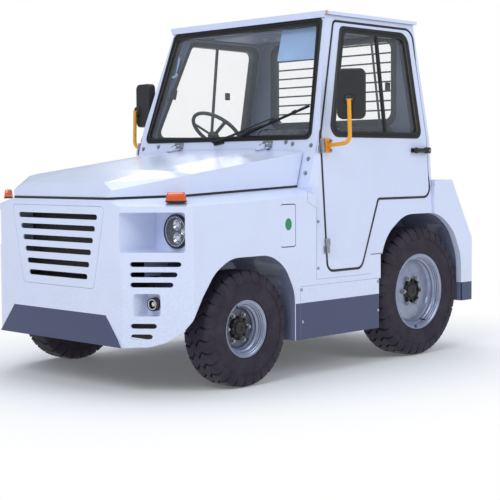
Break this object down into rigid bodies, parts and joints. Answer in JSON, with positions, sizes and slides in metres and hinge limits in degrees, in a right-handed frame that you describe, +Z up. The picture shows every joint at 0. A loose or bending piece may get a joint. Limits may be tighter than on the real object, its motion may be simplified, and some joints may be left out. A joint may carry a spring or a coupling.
{
  "type": "airport baggage tug",
  "caption": "Compact airport baggage tug with an enclosed slanted cab, sloping hood, faceted front fascia, steered small front wheels, large rear wheels and a rear tow hitch.",
  "frame": {"origin": "centre of the bounding box at the ground the wheels stand on", "axes": "front towards -Y, the vehicle's left side towards +X, +Z up, length along Y"},
  "size_m": [1.8764, 2.652, 1.943],
  "materials": {
    "body_white": "gloss",
    "slate_paint": "satin",
    "chassis_black": "satin",
    "drive_iron": "rough",
    "rim_silver": "satin",
    "tyre_rubber": "matte",
    "seal_rubber": "matte",
    "pane": "clear",
    "lamp_lens": "clear",
    "amber_lens": "gloss",
    "interior_plastic": "matte",
    "seat_cloth": "matte",
    "black_plastic": "matte",
    "hitch_steel": "satin",
    "pin_steel": "brushed"
  },
  "bodies": {
    "body": {"ballast": "drive_iron", "cab_floor": "slate_paint", "cab_front": "body_white", "cab_glass": "pane", "cab_interior": "interior_plastic", "cab_rear": "body_white", "cab_sides": "body_white", "chassis_crossmembers": "chassis_black", "chassis_rails": "chassis_black", "fenders": "body_white", "front_axle_beam": "chassis_black", "front_fascia": "body_white", "front_lamps": "lamp_lens", "grille_panel": "body_white", "hood_seal": "seal_rubber", "lower_body": "body_white", "power_unit": "drive_iron", "rear_axle": "drive_iron", "rear_body": "body_white", "rear_guard": "chassis_black", "roof": "body_white", "seat_cushions": "seat_cloth", "signal_lamps": "amber_lens", "sill_covers": "body_white", "skid_plate": "slate_paint", "slate_skirts": "slate_paint", "suspension": "chassis_black", "tow_hitch": "hitch_steel", "wheel_boxes": "body_white"},
    "knuckle_left": {"knuckle_left": "drive_iron"},
    "knuckle_right": {"knuckle_right": "drive_iron"},
    "tie_rod": {"tie_rod": "chassis_black"},
    "steering_wheel": {"steering_wheel": "black_plastic"},
    "door_left": {"door_left": "body_white", "door_glass_left": "pane", "door_fittings_left": "black_plastic"},
    "door_right": {"door_right": "body_white", "door_glass_right": "pane", "door_fittings_right": "black_plastic"},
    "hood": {"hood": "body_white"},
    "service_flap": {"service_flap": "body_white"},
    "tow_pin": {"tow_pin": "pin_steel"},
    "wheel_front_left": {"tyre_front_left": "tyre_rubber", "wheel_front_left": "rim_silver"},
    "wheel_front_right": {"tyre_front_right": "tyre_rubber", "wheel_front_right": "rim_silver"},
    "wheel_rear_left": {"tyre_rear_left": "tyre_rubber", "wheel_rear_left": "rim_silver"},
    "wheel_rear_right": {"tyre_rear_right": "tyre_rubber", "wheel_rear_right": "rim_silver"}
  },
  "joints": [
    {"name": "steer_left", "type": "hinge", "parent": "body", "child": "knuckle_left", "pos_m": [0.612, -0.716, 0.294], "axis": [0, 0, 1], "range_deg": [-30, 30]},
    {"name": "steer_right", "type": "hinge", "parent": "body", "child": "knuckle_right", "pos_m": [-0.612, -0.716, 0.294], "axis": [0, 0, 1], "range_deg": [-30, 30]},
    {"name": "roll_front_left", "type": "hinge", "parent": "knuckle_left", "child": "wheel_front_left", "pos_m": [0.674, -0.716, 0.294], "axis": [1, 0, 0], "continuous": true},
    {"name": "roll_front_right", "type": "hinge", "parent": "knuckle_right", "child": "wheel_front_right", "pos_m": [-0.674, -0.716, 0.294], "axis": [1, 0, 0], "continuous": true},
    {"name": "roll_rear_left", "type": "hinge", "parent": "body", "child": "wheel_rear_left", "pos_m": [0.655, 0.714, 0.372], "axis": [1, 0, 0], "continuous": true},
    {"name": "roll_rear_right", "type": "hinge", "parent": "body", "child": "wheel_rear_right", "pos_m": [-0.655, 0.714, 0.372], "axis": [1, 0, 0], "continuous": true},
    {"name": "tie_rod_pin", "type": "hinge", "parent": "knuckle_left", "child": "tie_rod", "pos_m": [0.565, -0.576, 0.267], "axis": [0, 0, 1], "range_deg": [-33, 33]},
    {"name": "steering_turn", "type": "hinge", "parent": "body", "child": "steering_wheel", "pos_m": [-0.337, 0.11, 1.286], "axis": [0, 0.6561, 0.7547], "range_deg": [-540, 540]},
    {"name": "door_left_hinge", "type": "hinge", "parent": "body", "child": "door_left", "pos_m": [0.77663, -0.13, 0.68], "axis": [0.0669, 0, -0.9978], "range_deg": [0, 78]},
    {"name": "door_right_hinge", "type": "hinge", "parent": "body", "child": "door_right", "pos_m": [-0.77663, -0.13, 0.68], "axis": [0.0669, 0, 0.9978], "range_deg": [0, 78]},
    {"name": "hood_hinge", "type": "hinge", "parent": "body", "child": "hood", "pos_m": [0, -0.1702, 1.216], "axis": [-1, 0, 0], "range_deg": [0, 50]},
    {"name": "flap_hinge", "type": "hinge", "parent": "body", "child": "service_flap", "pos_m": [0.77, -0.484, 0.8], "axis": [0, 0, -1], "range_deg": [0, 100]},
    {"name": "pin_lift", "type": "slide", "parent": "body", "child": "tow_pin", "axis": [0, 0, 1], "range_m": [0, 0.24]}
  ],
  "couplings": [
    {"joint": "steer_right", "follows": "steer_left", "ratio": 1},
    {"joint": "tie_rod_pin", "follows": "steer_left", "ratio": -1.083},
    {"joint": "steering_turn", "follows": "steer_left", "ratio": 18}
  ]
}
